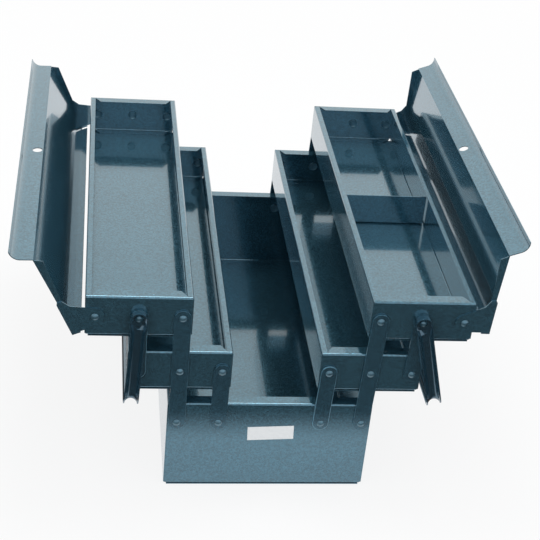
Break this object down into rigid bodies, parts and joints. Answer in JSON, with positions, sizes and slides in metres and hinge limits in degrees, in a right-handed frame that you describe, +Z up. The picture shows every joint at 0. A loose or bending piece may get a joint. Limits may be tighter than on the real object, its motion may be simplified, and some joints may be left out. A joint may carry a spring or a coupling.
{
  "type": "cantilever tool box",
  "caption": "Folded steel tool box with two pairs of cantilever trays on parallel links, hinged half lids and swinging channel handles, standing open.",
  "frame": {"origin": "middle of the underside of the base box, on the surface it stands on", "axes": "+Z up, +X to the right across the box seen from its front end, +Y along the box from the front end to the rear end"},
  "size_m": [0.4724, 0.4558, 0.2877],
  "materials": {
    "enamel": "gloss hammertone enamel",
    "fittings": "gloss hammertone enamel",
    "rivet": "gloss enamel over steel",
    "label": "satin"
  },
  "bodies": {
    "base": {"base_shell": "enamel", "base_front_end": "enamel", "base_rear_end": "enamel", "base_rivets": "rivet", "base_label": "label"},
    "left_long_links": {"left_long_link_front": "fittings", "left_long_link_rear": "fittings"},
    "left_inner_links": {"left_inner_link_front": "fittings", "left_inner_link_rear": "fittings"},
    "left_lower_tray": {"left_lower_shell": "enamel", "left_lower_front_end": "enamel", "left_lower_rear_end": "enamel", "left_lower_rivets": "rivet"},
    "left_outer_links": {"left_outer_link_front": "fittings", "left_outer_link_rear": "fittings"},
    "left_upper_tray": {"left_upper_shell": "enamel", "left_upper_front_end": "enamel", "left_upper_rear_end": "enamel", "left_upper_rivets": "rivet"},
    "left_lid_body": {"left_lid": "enamel"},
    "left_handle_body": {"left_handle": "fittings"},
    "right_long_links": {"right_long_link_front": "fittings", "right_long_link_rear": "fittings"},
    "right_inner_links": {"right_inner_link_front": "fittings", "right_inner_link_rear": "fittings"},
    "right_lower_tray": {"right_lower_shell": "enamel", "right_lower_front_end": "enamel", "right_lower_rear_end": "enamel", "right_lower_rivets": "rivet"},
    "right_outer_links": {"right_outer_link_front": "fittings", "right_outer_link_rear": "fittings"},
    "right_upper_tray": {"right_upper_shell": "enamel", "right_upper_front_end": "enamel", "right_upper_rear_end": "enamel", "right_upper_rivets": "rivet", "right_divider": "enamel"},
    "right_lid_body": {"right_lid": "enamel"},
    "right_handle_body": {"right_handle": "fittings"}
  },
  "joints": [
    {"name": "left_unfold", "type": "hinge", "parent": "base", "child": "left_long_links", "pos_m": [-0.0905, 0, 0.0786], "axis": [0, -1, 0], "range_deg": [-42.16, 2.2]},
    {"name": "left_inner_follow", "type": "hinge", "parent": "base", "child": "left_inner_links", "pos_m": [-0.0502, 0, 0.0786], "axis": [0, -1, 0], "range_deg": [-43.16, 3.2]},
    {"name": "left_lower_level", "type": "hinge", "parent": "left_long_links", "child": "left_lower_tray", "pos_m": [-0.0905, 0, 0.13864], "axis": [0, -1, 0], "range_deg": [-3.2, 43.16]},
    {"name": "left_upper_level", "type": "hinge", "parent": "left_long_links", "child": "left_upper_tray", "pos_m": [-0.0905, 0, 0.19867], "axis": [0, -1, 0], "range_deg": [-3.2, 43.16]},
    {"name": "left_outer_follow", "type": "hinge", "parent": "left_lower_tray", "child": "left_outer_links", "pos_m": [-0.1308, 0, 0.13864], "axis": [0, -1, 0], "range_deg": [-43.16, 3.2]},
    {"name": "left_lid_hinge", "type": "hinge", "parent": "left_upper_tray", "child": "left_lid_body", "pos_m": [-0.1711, 0, 0.19867], "axis": [0, -1, 0], "range_deg": [-112.2, 5.8]},
    {"name": "left_handle_swing", "type": "hinge", "parent": "left_outer_links", "child": "left_handle_body", "pos_m": [-0.1308, 0, 0.19867], "axis": [0, 1, 0], "range_deg": [-3, 87]},
    {"name": "right_unfold", "type": "hinge", "parent": "base", "child": "right_long_links", "pos_m": [0.0905, 0, 0.0786], "axis": [0, 1, 0], "range_deg": [-44.37, 0]},
    {"name": "right_inner_follow", "type": "hinge", "parent": "base", "child": "right_inner_links", "pos_m": [0.0502, 0, 0.0786], "axis": [0, 1, 0], "range_deg": [-45.37, 1]},
    {"name": "right_lower_level", "type": "hinge", "parent": "right_long_links", "child": "right_lower_tray", "pos_m": [0.0928, 0, 0.13859], "axis": [0, 1, 0], "range_deg": [-1, 45.37]},
    {"name": "right_upper_level", "type": "hinge", "parent": "right_long_links", "child": "right_upper_tray", "pos_m": [0.09511, 0, 0.19858], "axis": [0, 1, 0], "range_deg": [-1, 45.37]},
    {"name": "right_outer_follow", "type": "hinge", "parent": "right_lower_tray", "child": "right_outer_links", "pos_m": [0.13311, 0, 0.13859], "axis": [0, 1, 0], "range_deg": [-45.37, 1]},
    {"name": "right_lid_hinge", "type": "hinge", "parent": "right_upper_tray", "child": "right_lid_body", "pos_m": [0.17571, 0, 0.19858], "axis": [0, 1, 0], "range_deg": [-91, 27]},
    {"name": "right_handle_swing", "type": "hinge", "parent": "right_outer_links", "child": "right_handle_body", "pos_m": [0.13541, 0, 0.19858], "axis": [0, -1, 0], "range_deg": [-14.3, 75.7]}
  ],
  "couplings": [
    {"joint": "left_inner_follow", "follows": "left_unfold", "ratio": 1},
    {"joint": "left_lower_level", "follows": "left_unfold", "ratio": -1},
    {"joint": "left_upper_level", "follows": "left_unfold", "ratio": -1},
    {"joint": "left_outer_follow", "follows": "left_unfold", "ratio": 1},
    {"joint": "right_inner_follow", "follows": "right_unfold", "ratio": 1},
    {"joint": "right_lower_level", "follows": "right_unfold", "ratio": -1},
    {"joint": "right_upper_level", "follows": "right_unfold", "ratio": -1},
    {"joint": "right_outer_follow", "follows": "right_unfold", "ratio": 1}
  ]
}
